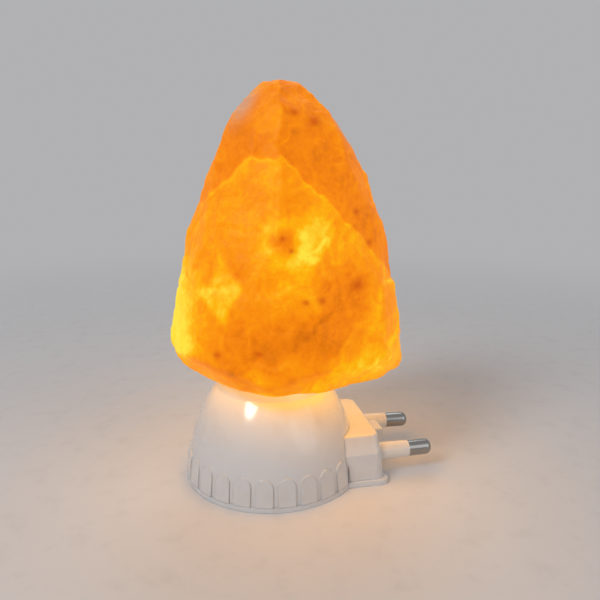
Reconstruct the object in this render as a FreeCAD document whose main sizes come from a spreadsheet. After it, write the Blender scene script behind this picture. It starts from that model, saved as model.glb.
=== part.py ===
import FreeCAD, Part
import math
import os

import Sketcher
from FreeCAD import Placement, Rotation, Vector

# Plug-in salt crystal night lamp, standing on its flat bottom cover.
# Frame: origin on the dome's axis at the resting plane, +Z up, +Y out of the plug pins.
# A white moulded dome with a ribbed skirt carries a small screw-in lamp holder. A rough salt
# crystal, bored from below, stands on the dome's collar over the bulb and lifts off.

# ---------------------------------------------------------------------------------------------
# Driving sizes: millimetres, degrees and counts
# ---------------------------------------------------------------------------------------------
SIZES = {
    # dome housing
    "base_radius": 22.0,        # dome at the resting plane, between the ribs
    "dome_arc": 40.0,           # radius of the dome's profile
    "dome_wall": 1.8,
    "seat_radius": 13.2,        # outside of the collar that carries the crystal
    "seat_height": 28.8,        # rim of the collar, where the crystal stands
    "collar_wall": 2.0,
    "neck_reach": 1.0,          # bevel between dome and collar, outwards
    "neck_rise": 2.6,           # and upwards
    "inner_steps": 5,           # straight steps of the dome's inner wall
    "rib_count": 26,
    "rib_width": 4.2,
    "rib_height": 7.9,
    "rib_proud": 0.4,
    "rib_lean": 6.0,            # degrees, the ribs lean in with the dome
    "post_circle": 13.0,        # radius on which the screw posts stand
    "post_radius": 2.4,
    "cover_post_angle": 35.0,   # degrees towards the back from the side-to-side axis
    "pilot_depth": 9.0,
    # bottom cover
    "cover_edge": 1.2,          # thickness of the cover, and height at which the shells start
    "cover_lip": 1.0,           # how far the cover stands out round the plug housing
    "cover_rim_height": 2.2,
    "cover_rim_wall": 1.0,
    "fit_gap": 0.2,             # between shells that slide together
    "screw_radius": 1.05,
    "screw_head_radius": 1.9,
    "screw_head_height": 0.8,
    "screw_head_sink": 0.08,    # how far a cover screw's head stays above the resting plane
    "slot_width_share": 0.3,    # of the head's radius
    "slot_depth_share": 0.5,    # of the head's height
    "cover_screw_length": 8.0,
    # plug housing
    "plug_half_width": 14.0,
    "plug_top_half_width": 12.0,
    "plug_crease": 8.0,         # height where the side walls start to lean in
    "plug_height": 12.4,
    "plug_rear": 12.2,
    "plug_front": 26.4,         # pin face at the bottom edge
    "plug_front_lean": 1.2,     # how far the pin face leans back at the top
    "plug_wall": 1.6,
    "plug_corner": 2.2,
    "plug_top_edge": 0.8,
    "plug_post_y": 14.8,
    "key_width": 6.0,           # raised block between the pins
    "key_top": 9.4,
    "key_foot": 3.4,
    "key_front": 29.2,
    # pins, sleeves and their carrier
    "pin_height": 6.2,
    "pin_radius": 2.0,
    "pin_tip": 40.2,
    "pin_tip_spacing": 17.4,
    "pin_converge": 1.65,       # degrees, each pin
    "pin_bare": 6.3,
    "pin_nose": 1.5,
    "pin_neck_radius": 1.6,
    "pin_tail_radius": 1.1,
    "pin_tail": 3.0,
    "sleeve_root_radius": 2.3,
    "sleeve_end_radius": 2.1,
    "sleeve_gap": 0.03,
    "carrier_depth": 5.0,
    "carrier_top_gap": 0.1,
    "stop_height": 3.0,
    "stop_wall": 1.1,
    "stop_half_width": 7.0,
    # lamp holder
    "holder_radius": 10.4,
    "holder_bottom": 8.6,
    "holder_top": 32.4,
    "holder_floor": 3.6,
    "holder_bore": 8.1,
    "holder_rim_bevel": 0.6,
    "ear_top": 18.0,
    "ear_thickness": 2.4,
    "ear_reach": 15.2,
    "ear_width": 5.4,
    "shell_radius": 7.35,
    "shell_wall": 0.3,
    "shell_top": 30.0,
    "contact_strip": 0.5,
    "contact_width": 3.4,
    "contact_passage": 2.6,     # radius of the hole for the centre contact
    "riser_inset": 0.9,         # centre contact's riser, in from the edge of its hole
    "tongue_width": 2.5,
    "lug_x": 5.2,
    "lug_reach": 2.3,
    "terminal_head_radius": 1.8,
    "terminal_head_height": 1.4,
    "terminal_radius": 1.0,
    "ear_screw_length": 4.6,
    "wire_radius": 0.9,
    "wire_clearance": 0.05,     # under the lug
    "wire_straight": 4.0,       # behind the pin's tail
    "wire_bow": 1.4,            # sideways, before the terminal
    "wire_approach": 4.6,       # length of the last run to the terminal
    "wire_sag": 0.3,
    # bulb, small tubular type with a 14 mm screw cap
    "bulb_tip": 14.0,
    "bulb_length": 50.0,
    "bulb_radius": 8.0,
    "glass_wall": 0.7,
    "glass_neck_radius": 6.3,
    "cap_radius": 6.9,
    "cap_wall": 0.3,
    "cap_bottom": 17.2,
    "cap_top": 31.4,
    "glass_sunk": 1.2,          # neck of the glass, down inside the cap
    "glass_shoulder": 2.0,      # height over which the neck widens
    "seal_gap": 0.02,
    "insulator_bevel": 0.3,
    "button_radius": 2.4,
    "button_height": 1.2,
    "stem_height": 13.0,
    "pinch_radius": 1.1,
    "support_spread": 0.6,
    "filament_height": 52.5,
    "filament_half_span": 4.2,
    "support_wire_radius": 0.25,
    "filament_radius": 0.35,
    "filament_lift": 0.315,     # rod's middle above the support wires' ends
    "bulb_running_gap": 0.1,
    # salt crystal
    "crystal_half_width": 28.6,
    "crystal_half_depth": 25.6,
    "crystal_widest": 33.0,
    "crystal_top": 96.6,
    "crystal_shoulder": 1.35,   # power of the outline, higher is more barrel-shaped
    "crystal_turn": 11.2,       # degrees, the wide way of the crystal from the pins' direction
    "crystal_offset": 3.3,      # crystal's middle, out towards the pins
    "crystal_bite": 0.55,       # mean depth of a flake past the smooth outline
    "flake_wander": 7.0,        # degrees, most that a flake strays from even spacing
    "bore_radius": 11.4,
    "bore_depth": 50.2,
    "bore_mouth": 0.8,
}


class Size:
    """A value from the sheet that keeps both its number and the expression for it."""

    def __init__(self, number, text):
        self.number = number
        self.text = text

    def joined(self, sign, other, number):
        other_text = other.text if isinstance(other, Size) else repr(other)
        return Size(number, "(" + self.text + " " + sign + " " + other_text + ")")

    def __add__(self, other):
        return self.joined("+", other, self.number + number_of(other))

    def __sub__(self, other):
        return self.joined("-", other, self.number - number_of(other))

    def __mul__(self, other):
        return self.joined("*", other, self.number * number_of(other))

    def __truediv__(self, other):
        return self.joined("/", other, self.number / number_of(other))

    def __neg__(self):
        return Size(-self.number, "(0 - " + self.text + ")")


def number_of(value):
    return value.number if isinstance(value, Size) else float(value)


def root(value):
    """Square root of a size."""
    return Size(math.sqrt(value.number), "sqrt(" + value.text + ")")


def bind(feature, name, value):
    """Set a property from the sheet, or from a plain number."""
    feature.setExpression(name, value.text if isinstance(value, Size) else repr(float(value)))


class Free:
    """A coordinate that an arc settles; the number only starts the solver close by."""

    def __init__(self, value):
        self.number = number_of(value)


doc = FreeCAD.newDocument("salt_crystal_lamp")
sheet = doc.addObject("Spreadsheet::Sheet", "Sizes")
for row, (name, value) in enumerate(SIZES.items(), start=1):
    sheet.set("A" + str(row), name)
    sheet.set("B" + str(row), str(value))
    sheet.setAlias("B" + str(row), name)
doc.recompute()


class Sheet:
    """Every driving size by its name."""


size = Sheet()
for name, value in SIZES.items():
    setattr(size, name, Size(float(value), "Sizes." + name))


def number(name):
    """A plain number from the sheet, for shapes that are worked out in code."""
    return float(sheet.get(name))


# ---------------------------------------------------------------------------------------------
# Drawing and features
# ---------------------------------------------------------------------------------------------
def new_body(name):
    body = doc.addObject("PartDesign::Body", name)
    body.Label = name
    return body


def origin_plane(body, role):
    return next(item for item in body.Origin.OriginFeatures if item.Role == role)


def new_sketch(body, name, role, offset=None):
    """Sketch on one of the body's own planes, moved along the plane's normal by offset."""
    sketch = body.newObject("Sketcher::SketchObject", name)
    sketch.AttachmentSupport = [(origin_plane(body, role), "")]
    sketch.MapMode = "FlatFace"
    if offset is not None:
        bind(sketch, "AttachmentOffset.Base.z", offset)
    return sketch


def point_of(corner):
    return Vector(*[c.number if isinstance(c, (Size, Free)) else float(c) for c in corner], 0)


def hold(sketch, kind, geometry, end, value):
    """Fix one coordinate of a point to a size."""
    if isinstance(value, Free):
        return
    if number_of(value) == 0 and not isinstance(value, Size):
        axis = -2 if kind == "DistanceX" else -1
        sketch.addConstraint(Sketcher.Constraint("PointOnObject", geometry, end, axis))
        return
    index = sketch.addConstraint(Sketcher.Constraint(kind, geometry, end, number_of(value)))
    bind(sketch, "Constraints[" + str(index) + "]", value)


def draw_outline(sketch, corners, arcs=None):
    """Closed outline through the corners. arcs gives, by the corner that an edge starts from,
    the arc's centre and whether it runs counter-clockwise. Where both ends of an arc are
    held, one coordinate of its centre is Free."""
    arcs = arcs or {}
    ends = []
    for index, corner in enumerate(corners):
        start = point_of(corner)
        finish = point_of(corners[(index + 1) % len(corners)])
        if index in arcs:
            centre, counter_clockwise = arcs[index]
            middle = point_of(centre)
            low, high = (start, finish) if counter_clockwise else (finish, start)
            circle = Part.Circle(middle, Vector(0, 0, 1), (start - middle).Length)
            angles = [math.atan2(p.y - middle.y, p.x - middle.x) for p in (low, high)]
            edge = sketch.addGeometry(Part.ArcOfCircle(circle, *angles), False)
            ends.append((edge, 1, 2) if counter_clockwise else (edge, 2, 1))
            hold(sketch, "DistanceX", edge, 3, centre[0])
            hold(sketch, "DistanceY", edge, 3, centre[1])
        else:
            edge = sketch.addGeometry(Part.LineSegment(start, finish), False)
            ends.append((edge, 1, 2))
    for index, (edge, start_end, finish_end) in enumerate(ends):
        following = ends[(index + 1) % len(ends)]
        joint = Sketcher.Constraint("Coincident", edge, finish_end, following[0], following[1])
        sketch.addConstraint(joint)
        hold(sketch, "DistanceX", edge, start_end, corners[index][0])
        hold(sketch, "DistanceY", edge, start_end, corners[index][1])
    return sketch


def draw_circle(sketch, x, y, radius):
    centre = point_of((x, y))
    edge = sketch.addGeometry(Part.Circle(centre, Vector(0, 0, 1), number_of(radius)), False)
    hold(sketch, "DistanceX", edge, 3, x)
    hold(sketch, "DistanceY", edge, 3, y)
    index = sketch.addConstraint(Sketcher.Constraint("Radius", edge, number_of(radius)))
    bind(sketch, "Constraints[" + str(index) + "]", radius)
    return sketch


def rectangle(left, right, bottom, top):
    return [(left, bottom), (right, bottom), (right, top), (left, top)]


def revolve(body, sketch):
    feature = body.newObject("PartDesign::Revolution", sketch.Name + "_turned")
    feature.Profile = sketch
    feature.ReferenceAxis = (sketch, ["V_Axis"])
    feature.Angle = 360.0
    sketch.Visibility = False
    return feature


def pad(body, sketch, length, reverse=False, both_ways=False):
    feature = body.newObject("PartDesign::Pad", sketch.Name + "_pad")
    feature.Profile = sketch
    bind(feature, "Length", length)
    feature.Reversed = reverse
    feature.Midplane = both_ways
    sketch.Visibility = False
    return feature


def pocket(body, sketch, length, reverse=False, both_ways=False):
    """Cut, and stop if the cut takes nothing away."""
    doc.recompute()
    before = body.Shape.Volume
    feature = body.newObject("PartDesign::Pocket", sketch.Name + "_cut")
    feature.Profile = sketch
    bind(feature, "Length", length)
    feature.Reversed = reverse
    feature.Midplane = both_ways
    doc.recompute()
    if body.Shape.Volume >= before - 1e-6:
        raise RuntimeError(feature.Name + " cuts nothing")
    return feature


def polar_pattern(body, feature, count):
    pattern = body.newObject("PartDesign::PolarPattern", feature.Name + "_ring")
    pattern.Originals = [feature]
    pattern.Axis = (origin_plane(body, "Z_Axis"), [""])
    pattern.Angle = 360.0
    bind(pattern, "Occurrences", count)
    body.Tip = pattern
    return pattern


def edges_where(body, test):
    """Names of the edges of a body's present shape whose ends and middle pass the test."""
    doc.recompute()
    names = []
    for index, edge in enumerate(body.Shape.Edges, start=1):
        middle = edge.valueAt((edge.FirstParameter + edge.LastParameter) / 2)
        if all(test(p) for p in [middle] + [v.Point for v in edge.Vertexes]):
            names.append("Edge" + str(index))
    if not names:
        raise RuntimeError(body.Name + " has no such edge")
    return names


def fillet(body, name, edges, radius):
    base = body.Tip
    feature = body.newObject("PartDesign::Fillet", name)
    feature.Base = (base, edges)
    bind(feature, "Radius", radius)
    doc.recompute()
    return feature


def near(value, target):
    return abs(value - target) < 0.01


def screw(name, places, z_seat, length, shank, head, head_height):
    """Group of like screws, each a head below its seat and a shank that rises from it."""
    seat, radius, height = z_seat.number, head.number, head_height.number
    slot_width = radius * number("slot_width_share")
    slot_depth = height * number("slot_depth_share")
    parts = []
    for x, y in places:
        cap = Part.makeCylinder(radius, height, Vector(x, y, seat), Vector(0, 0, -1))
        stem = Part.makeCylinder(shank.number, length.number, Vector(x, y, seat))
        slot = Part.makeBox(2 * radius, slot_width, slot_depth,
                            Vector(x - radius, y - slot_width / 2, seat - height))
        parts.append(cap.fuse(stem).cut(slot).removeSplitter())
    feature = doc.addObject("Part::Feature", name)
    feature.Label = name
    feature.Shape = Part.makeCompound(parts)
    return feature


# ---------------------------------------------------------------------------------------------
# Places that several pieces share
# ---------------------------------------------------------------------------------------------
arc_centre = -(size.dome_arc - size.base_radius)
collar_inside = size.seat_radius - size.collar_wall
post_root_span = size.post_circle + size.post_radius + size.dome_arc - size.base_radius
post_arc = size.dome_arc - size.dome_wall / 2
post_top = root(post_arc * post_arc - post_root_span * post_root_span)
rib_crest = size.base_radius + size.rib_proud
plug_inner_half = size.plug_half_width - size.plug_wall
plug_inner_top_half = size.plug_top_half_width - size.plug_wall
plug_roof = size.plug_height - size.plug_wall
plug_front_inside = size.plug_front - size.plug_front_lean - size.plug_wall
carrier_front = plug_front_inside - size.fit_gap
carrier_rear = carrier_front - size.carrier_depth
lug_bottom = size.holder_bottom - size.contact_strip
wire_height = lug_bottom - size.wire_radius - size.wire_clearance
bulb_top = size.bulb_tip + size.bulb_length
cover_post_turn = math.radians(number("cover_post_angle"))
cover_post_x = Size(size.post_circle.number * math.cos(cover_post_turn),
                    "Sizes.post_circle * cos(Sizes.cover_post_angle * 1 deg)")
cover_post_y = Size(-size.post_circle.number * math.sin(cover_post_turn),
                    "(0 - Sizes.post_circle * sin(Sizes.cover_post_angle * 1 deg))")
cover_screw_places = [(cover_post_x.number, cover_post_y.number),
                      (-cover_post_x.number, cover_post_y.number),
                      (0.0, number("plug_post_y"))]


# ---------------------------------------------------------------------------------------------
# Dome housing: one white moulding with a ribbed skirt, a collar and four screw posts
# ---------------------------------------------------------------------------------------------
def beside(arc, distance):
    """Other leg of a point on an arc about the dome's centre: height from radius, or back."""
    return root(arc * arc - distance * distance)


def make_dome_housing():
    body = new_body("dome_housing")
    inner_arc = size.dome_arc - size.dome_wall
    profile = new_sketch(body, "dome_profile", "XZ_Plane")
    neck_radius = size.seat_radius + size.neck_reach
    neck_z = beside(size.dome_arc, neck_radius - arc_centre)
    inner_neck_z = beside(inner_arc, collar_inside - arc_centre)
    corners = [
        (Free(beside(size.dome_arc, size.cover_edge) + arc_centre), size.cover_edge),
        (neck_radius, Free(neck_z)),
        (size.seat_radius, neck_z + size.neck_rise),
        (size.seat_radius, size.seat_height),
        (collar_inside, size.seat_height),
        (collar_inside, inner_neck_z),
    ]
    # The inner wall is out of sight and goes down in straight steps
    steps = int(number("inner_steps"))
    for step in range(steps - 1, -1, -1):
        height = size.cover_edge + (inner_neck_z - size.cover_edge) * (step / steps)
        corners.append((beside(inner_arc, height) + arc_centre, height))
    draw_outline(profile, corners, {0: ((arc_centre, 0), True)})
    index = profile.addConstraint(Sketcher.Constraint("Radius", 0, size.dome_arc.number))
    bind(profile, "Constraints[" + str(index) + "]", size.dome_arc)
    revolve(body, profile)

    # One rib: a tongue with a round top on a plane that leans in with the dome
    rib = new_sketch(body, "rib", "YZ_Plane", rib_crest - size.dome_wall / 2)
    rib.AttachmentOffset = Placement(Vector(0, 0, rib_crest.number - size.dome_wall.number / 2),
                                     Rotation(Vector(1, 0, 0), -number("rib_lean")))
    bind(rib, "AttachmentOffset.Base.z", rib_crest - size.dome_wall / 2)
    half = size.rib_width / 2
    shoulder = size.rib_height - half
    draw_outline(rib, [(-half, -size.cover_edge / 2), (half, -size.cover_edge / 2),
                       (half, shoulder), (-half, shoulder)],
                 {2: ((Free(0), shoulder), True)})
    ribs = polar_pattern(body, pad(body, rib, size.dome_wall / 2), size.rib_count)
    ribs.Refine = True

    foot = new_sketch(body, "skirt_foot", "XY_Plane")
    draw_circle(foot, 0, 0, rib_crest + size.dome_wall)
    pocket(body, foot, size.cover_edge * 2, both_ways=True)

    # Opening for the plug housing, a sliding fit round it
    opening = new_sketch(body, "plug_opening", "XZ_Plane")
    wide = size.plug_half_width + size.fit_gap / 2
    narrow = size.plug_top_half_width + size.fit_gap / 2
    high = size.plug_height + size.fit_gap / 2
    draw_outline(opening, [(-wide, 0), (wide, 0), (wide, size.plug_crease), (narrow, high),
                           (-narrow, high), (-wide, size.plug_crease)])
    pocket(body, opening, size.base_radius * 2)

    # Posts: two long ones for the cover's screws, two short ones for the lamp holder's
    long_posts = new_sketch(body, "cover_posts", "XY_Plane", size.cover_edge)
    draw_circle(long_posts, cover_post_x, cover_post_y, size.post_radius)
    draw_circle(long_posts, -cover_post_x, cover_post_y, size.post_radius)
    pad(body, long_posts, post_top - size.cover_edge)
    short_posts = new_sketch(body, "holder_posts", "XY_Plane", size.ear_top)
    draw_circle(short_posts, size.post_circle, 0, size.post_radius)
    draw_circle(short_posts, -size.post_circle, 0, size.post_radius)
    pad(body, short_posts, post_top - size.ear_top)
    pilots = new_sketch(body, "cover_pilots", "XY_Plane", size.cover_edge)
    draw_circle(pilots, cover_post_x, cover_post_y, size.screw_radius + size.fit_gap / 4)
    draw_circle(pilots, -cover_post_x, cover_post_y, size.screw_radius + size.fit_gap / 4)
    pocket(body, pilots, size.pilot_depth, reverse=True)
    holder_pilots = new_sketch(body, "holder_pilots", "XY_Plane", size.ear_top)
    draw_circle(holder_pilots, size.post_circle, 0, size.screw_radius + size.fit_gap / 4)
    draw_circle(holder_pilots, -size.post_circle, 0, size.screw_radius + size.fit_gap / 4)
    pocket(body, holder_pilots, size.ear_screw_length - size.ear_thickness + size.fit_gap,
           reverse=True)
    return body


# ---------------------------------------------------------------------------------------------
# Plug housing: open-bottomed box that slides into the dome's opening
# ---------------------------------------------------------------------------------------------
def plug_outline(wide, narrow, floor, crease, top):
    return [(-wide, floor), (wide, floor), (wide, crease), (narrow, top), (-narrow, top),
            (-wide, crease)]


def make_plug_housing():
    body = new_body("plug_housing")
    block = new_sketch(body, "housing_block", "XZ_Plane", -size.plug_rear)
    draw_outline(block, plug_outline(size.plug_half_width, size.plug_top_half_width,
                                     size.cover_edge, size.plug_crease, size.plug_height))
    pad(body, block, size.plug_front - size.plug_rear, reverse=True)
    lean = new_sketch(body, "front_lean", "YZ_Plane")
    beyond = size.plug_front + size.plug_wall
    draw_outline(lean, [(size.plug_front, size.cover_edge), (beyond, size.cover_edge),
                        (beyond, size.plug_height),
                        (size.plug_front - size.plug_front_lean, size.plug_height)])
    pocket(body, lean, size.plug_half_width * 3, both_ways=True)

    behind = size.plug_front.number - size.plug_front_lean.number - number("fit_gap")
    inward = size.plug_top_half_width.number - size.plug_corner.number
    upright = edges_where(body, lambda p: p.y > behind and abs(p.x) > inward)
    upright = [name for name in upright if abs(edge_rise(body, name)) > number("plug_wall")]
    fillet(body, "corner_round", upright, size.plug_corner)
    top = edges_where(body, lambda p: near(p.z, size.plug_height.number)
                      and p.y > size.plug_rear.number - number("fit_gap"))
    top = [name for name in top if not at_rear(body, name)]
    fillet(body, "top_round", top, size.plug_top_edge)

    hollow = new_sketch(body, "housing_hollow", "XZ_Plane", -size.plug_rear)
    draw_outline(hollow, plug_outline(plug_inner_half, plug_inner_top_half, size.cover_edge,
                                      size.plug_crease, plug_roof))
    pocket(body, hollow, plug_front_inside - size.plug_rear)

    # Raised block between the pins, on the pin face
    key = new_sketch(body, "key_block", "XZ_Plane", -plug_front_inside)
    draw_outline(key, rectangle(-size.key_width / 2, size.key_width / 2, size.key_foot,
                                size.key_top))
    pad(body, key, size.key_front - plug_front_inside, reverse=True)

    pin_x = size.pin_tip_spacing / 2 + (size.pin_tip - size.plug_front) * math.tan(
        math.radians(number("pin_converge")))
    holes = new_sketch(body, "pin_holes", "XZ_Plane", -plug_front_inside)
    draw_circle(holes, pin_x, size.pin_height, size.sleeve_root_radius + size.fit_gap)
    draw_circle(holes, -pin_x, size.pin_height, size.sleeve_root_radius + size.fit_gap)
    pocket(body, holes, size.plug_wall * 3)

    post = new_sketch(body, "cover_post", "XY_Plane", size.cover_edge)
    draw_circle(post, 0, size.plug_post_y, size.post_radius)
    pad(body, post, plug_roof + size.plug_wall / 2 - size.cover_edge)
    pilot = new_sketch(body, "cover_pilot", "XY_Plane", size.cover_edge)
    draw_circle(pilot, 0, size.plug_post_y, size.screw_radius + size.fit_gap / 4)
    pocket(body, pilot, size.pilot_depth, reverse=True)
    return body


def edge_of(body, name):
    return body.Shape.Edges[int(name[4:]) - 1]


def edge_rise(body, name):
    ends = [v.Point for v in edge_of(body, name).Vertexes]
    return ends[-1].z - ends[0].z


def at_rear(body, name):
    return all(near(v.Point.y, size.plug_rear.number) for v in edge_of(body, name).Vertexes)


# ---------------------------------------------------------------------------------------------
# Bottom cover: keyhole-shaped plate with a locating rim, held by three screws from below
# ---------------------------------------------------------------------------------------------
def make_bottom_cover():
    body = new_body("bottom_cover")
    disc = new_sketch(body, "cover_disc", "XY_Plane")
    draw_circle(disc, 0, 0, rib_crest)
    pad(body, disc, size.cover_edge)
    tab = new_sketch(body, "plug_tab", "XY_Plane")
    half = size.plug_half_width + size.cover_lip
    front = size.plug_front + size.cover_lip
    corner = size.plug_corner
    draw_outline(tab, [(-half, size.plug_rear), (half, size.plug_rear), (half, front - corner),
                       (half - corner, front), (-(half - corner), front),
                       (-half, front - corner)],
                 {2: ((half - corner, Free(front - corner)), True),
                  4: ((-(half - corner), Free(front - corner)), True)})
    pad(body, tab, size.cover_edge)
    rim = new_sketch(body, "locating_rim", "XY_Plane", size.cover_edge)
    rim_outer = size.base_radius - size.dome_wall - size.fit_gap * 2
    draw_circle(rim, 0, 0, rim_outer)
    draw_circle(rim, 0, 0, rim_outer - size.cover_rim_wall)
    pad(body, rim, size.cover_rim_height)
    gap = new_sketch(body, "rim_gap", "XY_Plane", size.cover_edge)
    gap_half = size.plug_half_width + size.fit_gap
    draw_outline(gap, rectangle(-gap_half, gap_half, size.plug_rear - size.fit_gap,
                                size.base_radius))
    pocket(body, gap, size.cover_rim_height * 2, reverse=True)
    stop = new_sketch(body, "carrier_stop", "XY_Plane", size.cover_edge)
    draw_outline(stop, rectangle(-size.stop_half_width, size.stop_half_width,
                                 carrier_rear - size.stop_wall, carrier_rear))
    pad(body, stop, size.stop_height)
    holes = new_sketch(body, "screw_holes", "XY_Plane")
    heads = new_sketch(body, "head_recesses", "XY_Plane")
    for x, y in ((cover_post_x, cover_post_y), (-cover_post_x, cover_post_y),
                 (0, size.plug_post_y)):
        draw_circle(holes, x, y, size.screw_radius + size.fit_gap / 2)
        draw_circle(heads, x, y, size.screw_head_radius + size.fit_gap / 2)
    pocket(body, holes, size.cover_edge, reverse=True)
    pocket(body, heads, size.screw_head_height, reverse=True)
    return body


# ---------------------------------------------------------------------------------------------
# Pins: nickel-plated round pins that converge a little, necked under their sleeves
# ---------------------------------------------------------------------------------------------
def along_pin(y):
    """Distance behind the pin's tip of a plane across the plug."""
    return y - size.pin_tip


def place_pin(body, side):
    turn = Rotation(Vector(0, 0, 1), side * number("pin_converge"))
    spot = Vector(side * number("pin_tip_spacing") / 2, number("pin_tip"), number("pin_height"))
    body.Placement = Placement(spot, turn)
    bind(body, "Placement.Base.x", size.pin_tip_spacing * (side * 0.5))
    bind(body, "Placement.Base.y", size.pin_tip)
    bind(body, "Placement.Base.z", size.pin_height)


def make_pin(name, side):
    body = new_body(name)
    profile = new_sketch(body, name + "_profile", "XY_Plane")
    neck_start = -size.pin_bare
    flat = size.pin_radius - size.pin_nose
    draw_outline(profile, [
        (0, along_pin(carrier_rear) - size.pin_tail),
        (size.pin_tail_radius, along_pin(carrier_rear) - size.pin_tail),
        (size.pin_tail_radius, along_pin(carrier_rear)),
        (size.pin_radius, along_pin(carrier_rear)),
        (size.pin_radius, along_pin(carrier_front)),
        (size.pin_neck_radius, along_pin(carrier_front)),
        (size.pin_neck_radius, neck_start),
        (size.pin_radius, neck_start),
        (size.pin_radius, -size.pin_nose),
        (flat, 0),
        (0, 0),
    ], {8: ((Free(flat), -size.pin_nose), True)})
    revolve(body, profile)
    place_pin(body, side)
    return body


def make_sleeve(name, side):
    body = new_body(name)
    profile = new_sketch(body, name + "_profile", "XY_Plane")
    inside = size.pin_neck_radius + size.sleeve_gap
    finish = -(size.pin_bare + size.sleeve_gap)
    begin = along_pin(carrier_front) + size.fit_gap / 2
    draw_outline(profile, [(inside, begin), (size.sleeve_root_radius, begin),
                           (size.sleeve_end_radius, finish), (inside, finish)])
    revolve(body, profile)
    place_pin(body, side)
    return body


def make_pin_carrier():
    """Block that grips both pins behind the pin face and fills the housing's section."""
    block = new_body("carrier_block")
    section = new_sketch(block, "carrier_section", "XZ_Plane", -carrier_rear)
    draw_outline(section, plug_outline(plug_inner_half - size.fit_gap / 2,
                                       plug_inner_top_half - size.fit_gap / 2,
                                       size.cover_edge, size.plug_crease,
                                       plug_roof - size.carrier_top_gap))
    pad(block, section, size.carrier_depth, reverse=True)
    drills = []
    for side in (-1, 1):
        drill = doc.addObject("Part::Cylinder", "pin_drill")
        bind(drill, "Radius", size.pin_radius + size.sleeve_gap)
        bind(drill, "Height", size.pin_tip)
        tilt = Rotation(Vector(0, 0, 1), side * number("pin_converge"))
        drill.Placement = Placement(Vector(0, 0, 0),
                                    tilt.multiply(Rotation(Vector(1, 0, 0), 90)))
        bind(drill, "Placement.Base.x", size.pin_tip_spacing * (side * 0.5))
        bind(drill, "Placement.Base.y", size.pin_tip)
        bind(drill, "Placement.Base.z", size.pin_height)
        drills.append(drill)
    both = doc.addObject("Part::MultiFuse", "both_drills")
    both.Shapes = drills
    carrier = doc.addObject("Part::Cut", "pin_carrier")
    carrier.Base = block
    carrier.Tool = both
    carrier.Label = "pin_carrier"
    return carrier


# ---------------------------------------------------------------------------------------------
# Lamp holder: moulded body with two ears, threaded shell, two contacts, screws
# ---------------------------------------------------------------------------------------------
def make_holder_body():
    body = new_body("holder_body")
    floor = size.holder_bottom + size.holder_floor
    bevel = size.holder_rim_bevel
    profile = new_sketch(body, "holder_profile", "XZ_Plane")
    draw_outline(profile, [
        (size.contact_passage, size.holder_bottom),
        (size.holder_radius, size.holder_bottom),
        (size.holder_radius, size.holder_top - bevel),
        (size.holder_radius - bevel, size.holder_top),
        (size.holder_bore + bevel, size.holder_top),
        (size.holder_bore, size.holder_top - bevel),
        (size.holder_bore, floor),
        (size.contact_passage, floor),
    ])
    revolve(body, profile)
    ears = new_sketch(body, "ears", "XY_Plane", size.ear_top - size.ear_thickness)
    half = size.ear_width / 2
    inside = size.holder_bore + size.contact_strip
    for side in (-1, 1):
        near_end, far_end = (inside, size.ear_reach) if side > 0 else (-size.ear_reach, -inside)
        draw_outline(ears, rectangle(near_end, far_end, -half, half))
    pad(body, ears, size.ear_thickness)
    drills = new_sketch(body, "ear_holes", "XY_Plane", size.ear_top - size.ear_thickness)
    draw_circle(drills, size.post_circle, 0, size.screw_radius + size.fit_gap / 4)
    draw_circle(drills, -size.post_circle, 0, size.screw_radius + size.fit_gap / 4)
    pocket(body, drills, size.ear_thickness, reverse=True)
    slot = new_sketch(body, "side_contact_slot", "XY_Plane", size.holder_bottom)
    slot_half = size.contact_width / 2 + size.fit_gap / 2
    slot_in = size.shell_radius - size.fit_gap / 4
    draw_outline(slot, rectangle(slot_in, slot_in + size.contact_strip + size.fit_gap,
                                 -slot_half, slot_half))
    pocket(body, slot, size.holder_floor, reverse=True)
    terminals = new_sketch(body, "terminal_holes", "XY_Plane", size.holder_bottom)
    draw_circle(terminals, size.lug_x, 0, size.terminal_radius + size.fit_gap / 4)
    draw_circle(terminals, -size.lug_x, 0, size.terminal_radius + size.fit_gap / 4)
    pocket(body, terminals, size.holder_floor - size.contact_strip, reverse=True)
    return body


def make_tube(name, outer, wall, bottom, top):
    body = new_body(name)
    profile = new_sketch(body, name + "_profile", "XZ_Plane")
    draw_outline(profile, rectangle(outer - wall, outer, bottom, top))
    revolve(body, profile)
    return body


def make_side_contact():
    """Brass angle: a lug under the holder and a tongue that rises beside the shell."""
    body = new_body("holder_side_contact")
    strip = size.contact_strip
    inner = size.shell_radius + size.fit_gap / 4
    profile = new_sketch(body, "side_contact_bend", "XZ_Plane")
    draw_outline(profile, [
        (size.lug_x - size.lug_reach, lug_bottom),
        (inner + strip, lug_bottom),
        (inner + strip, size.ear_top + size.ear_thickness),
        (inner, size.ear_top + size.ear_thickness),
        (inner, size.holder_bottom),
        (size.lug_x - size.lug_reach, size.holder_bottom),
    ])
    pad(body, profile, size.contact_width, both_ways=True)
    hole = new_sketch(body, "side_lug_hole", "XY_Plane", lug_bottom)
    draw_circle(hole, size.lug_x, 0, size.terminal_radius + size.fit_gap / 4)
    pocket(body, hole, strip, reverse=True)
    return body


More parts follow.
